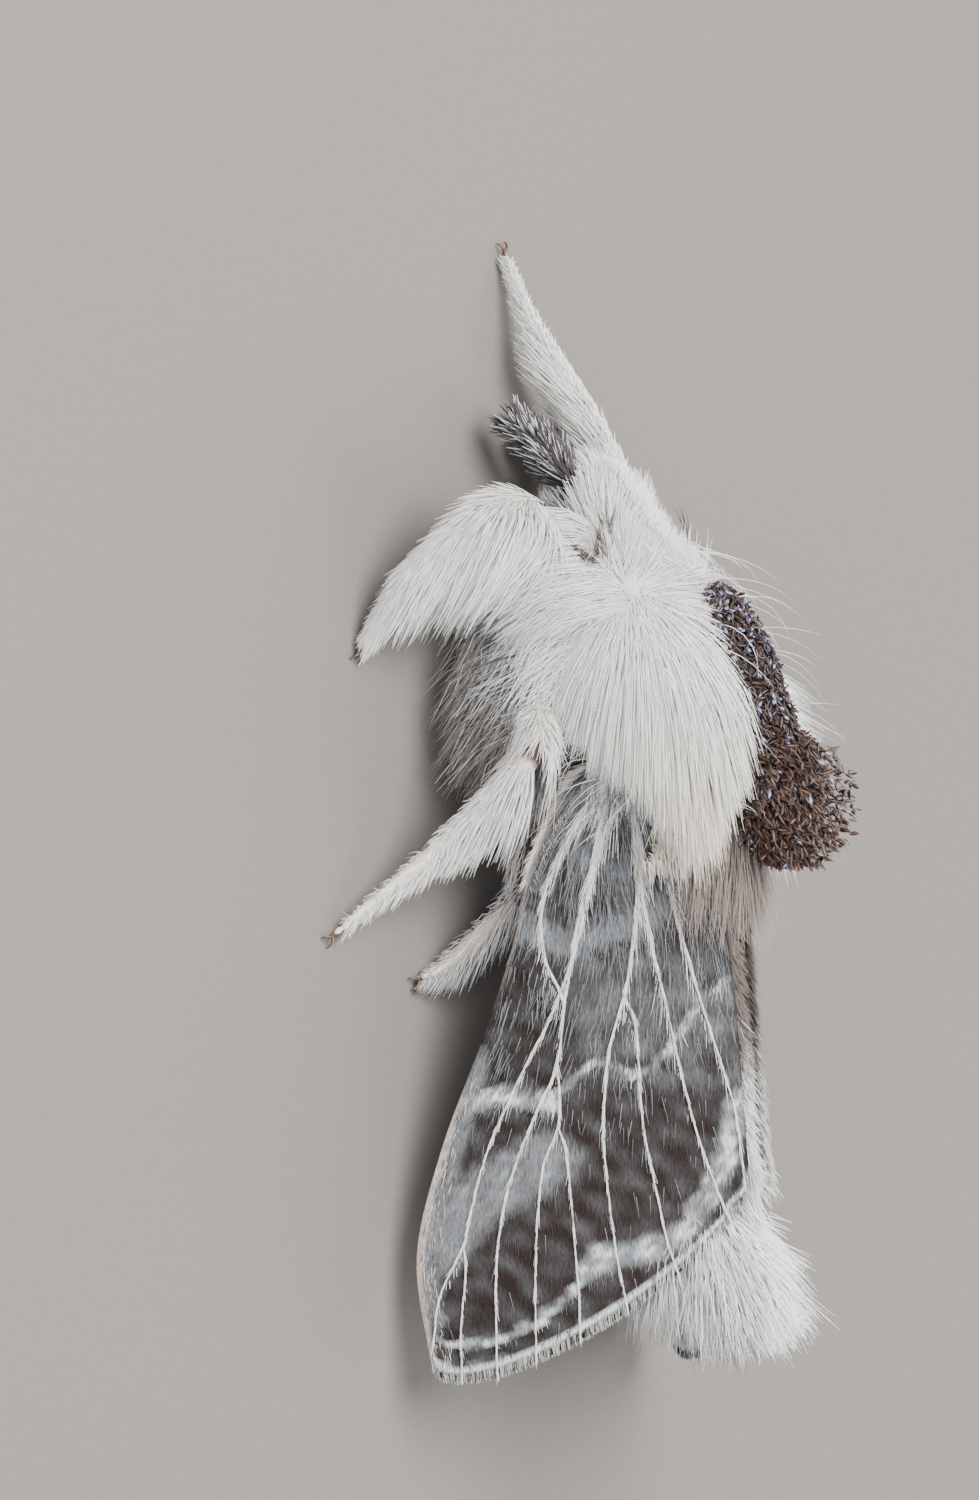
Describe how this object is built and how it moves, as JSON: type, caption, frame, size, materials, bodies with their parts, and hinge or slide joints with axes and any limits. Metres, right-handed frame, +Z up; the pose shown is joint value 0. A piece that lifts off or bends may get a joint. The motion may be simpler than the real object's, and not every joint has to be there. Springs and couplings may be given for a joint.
{
  "type": "large tolype moth",
  "caption": "Life-size resting moth with roof-folded veined wings, a long white hair cape, a dark dorsal crest and hairy legs.",
  "frame": {"origin": "centre of the bounding box's base, on the plane that the six feet stand on, under the waist", "axes": "+Z up from the floor through the back, +Y towards the tail, -Y towards the head, +X towards the moth's left"},
  "size_m": [0.0224, 0.039, 0.0138],
  "materials": {
    "body_hair": "long soft white hair, matt with a faint sheen",
    "abdomen_hair": "short grey-brown fur, matt",
    "palp_hair": "dark grey hair with white tips, matt",
    "crest_scales": "curled dark brown scales with blue-violet glints",
    "eye": "finely faceted compound eye, glossy black-brown",
    "antenna": "fine brown comb teeth on a pale scaled shaft",
    "forewing_scales": "matt dark brown-grey wing scales, pale veins and wavy pale bands",
    "hindwing_scales": "matt brown-grey wing scales with a pale band",
    "leg_hair": "long white hair over a brown leg, matt"
  },
  "bodies": {
    "root": {"abdomen": "abdomen_hair", "antenna_left": "antenna", "antenna_right": "antenna", "eye_left": "eye", "eye_right": "eye", "foreleg_left_lower": "leg_hair", "foreleg_left_upper": "leg_hair", "foreleg_right_lower": "leg_hair", "foreleg_right_upper": "leg_hair", "forewing_left": "forewing_scales", "forewing_right": "forewing_scales", "head": "body_hair", "hindleg_left_lower": "leg_hair", "hindleg_left_upper": "leg_hair", "hindleg_right_lower": "leg_hair", "hindleg_right_upper": "leg_hair", "hindwing_left": "hindwing_scales", "hindwing_right": "hindwing_scales", "midleg_left_lower": "leg_hair", "midleg_left_upper": "leg_hair", "midleg_right_lower": "leg_hair", "midleg_right_upper": "leg_hair", "palp_left": "palp_hair", "palp_right": "palp_hair", "tail_tuft": "body_hair", "thorax": "body_hair", "thorax_crest": "crest_scales"}
  },
  "joints": []
}
